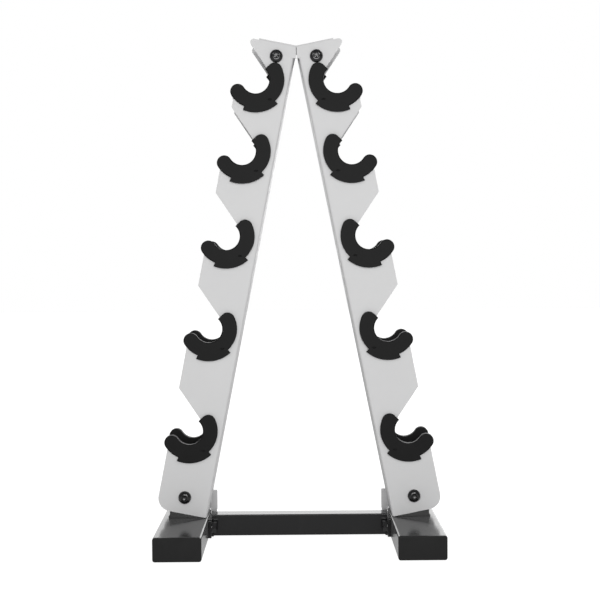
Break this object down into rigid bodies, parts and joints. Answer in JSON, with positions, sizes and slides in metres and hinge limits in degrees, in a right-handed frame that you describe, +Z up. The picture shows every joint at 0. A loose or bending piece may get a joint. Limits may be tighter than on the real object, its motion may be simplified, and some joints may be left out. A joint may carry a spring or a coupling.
{
  "type": "dumbbell rack",
  "caption": "Free-standing A-shaped dumbbell rack: two leaning hooked channels with moulded cradles, joined at the top and standing on two foot tubes and a crossbar.",
  "frame": {"origin": "on the floor, at the middle of the rack's footprint", "axes": "+Z up, +X towards the right foot as seen from the front, +Y from the front to the rear"},
  "size_m": [0.3688, 0.242, 0.6525],
  "materials": {
    "silver_powder_coat": "light silver-grey powder coat, satin",
    "black_powder_coat": "black powder coat, semi-gloss",
    "pad_plastic": "black moulded plastic, fine matt texture",
    "cap_plastic": "charcoal moulded plastic, matt",
    "black_zinc_steel": "black-coated steel, glossy",
    "plain_steel": "plain zinc-plated steel"
  },
  "bodies": {
    "root": {"right_upright": "silver_powder_coat", "left_upright": "silver_powder_coat", "top_connector": "silver_powder_coat", "right_foot_tube": "black_powder_coat", "left_foot_tube": "black_powder_coat", "right_front_end_cap": "cap_plastic", "right_rear_end_cap": "cap_plastic", "left_front_end_cap": "cap_plastic", "left_rear_end_cap": "cap_plastic", "right_foot_bracket": "black_powder_coat", "left_foot_bracket": "black_powder_coat", "crossbar_tube": "black_powder_coat", "right_end_plate": "black_powder_coat", "left_end_plate": "black_powder_coat", "right_front_pad_1": "pad_plastic", "right_front_pad_2": "pad_plastic", "right_front_pad_3": "pad_plastic", "right_front_pad_4": "pad_plastic", "right_front_pad_5": "pad_plastic", "right_rear_pad_1": "pad_plastic", "right_rear_pad_2": "pad_plastic", "right_rear_pad_3": "pad_plastic", "right_rear_pad_4": "pad_plastic", "right_rear_pad_5": "pad_plastic", "left_front_pad_1": "pad_plastic", "left_front_pad_2": "pad_plastic", "left_front_pad_3": "pad_plastic", "left_front_pad_4": "pad_plastic", "left_front_pad_5": "pad_plastic", "left_rear_pad_1": "pad_plastic", "left_rear_pad_2": "pad_plastic", "left_rear_pad_3": "pad_plastic", "left_rear_pad_4": "pad_plastic", "left_rear_pad_5": "pad_plastic", "left_top_bolt": "black_zinc_steel", "right_top_bolt": "black_zinc_steel", "left_base_bolt": "black_zinc_steel", "right_base_bolt": "black_zinc_steel", "upright_washers": "black_zinc_steel", "upright_lock_nuts": "black_zinc_steel", "crossbar_bolts": "black_zinc_steel", "crossbar_washers": "black_zinc_steel", "foot_weld_nuts": "plain_steel"}
  },
  "joints": []
}
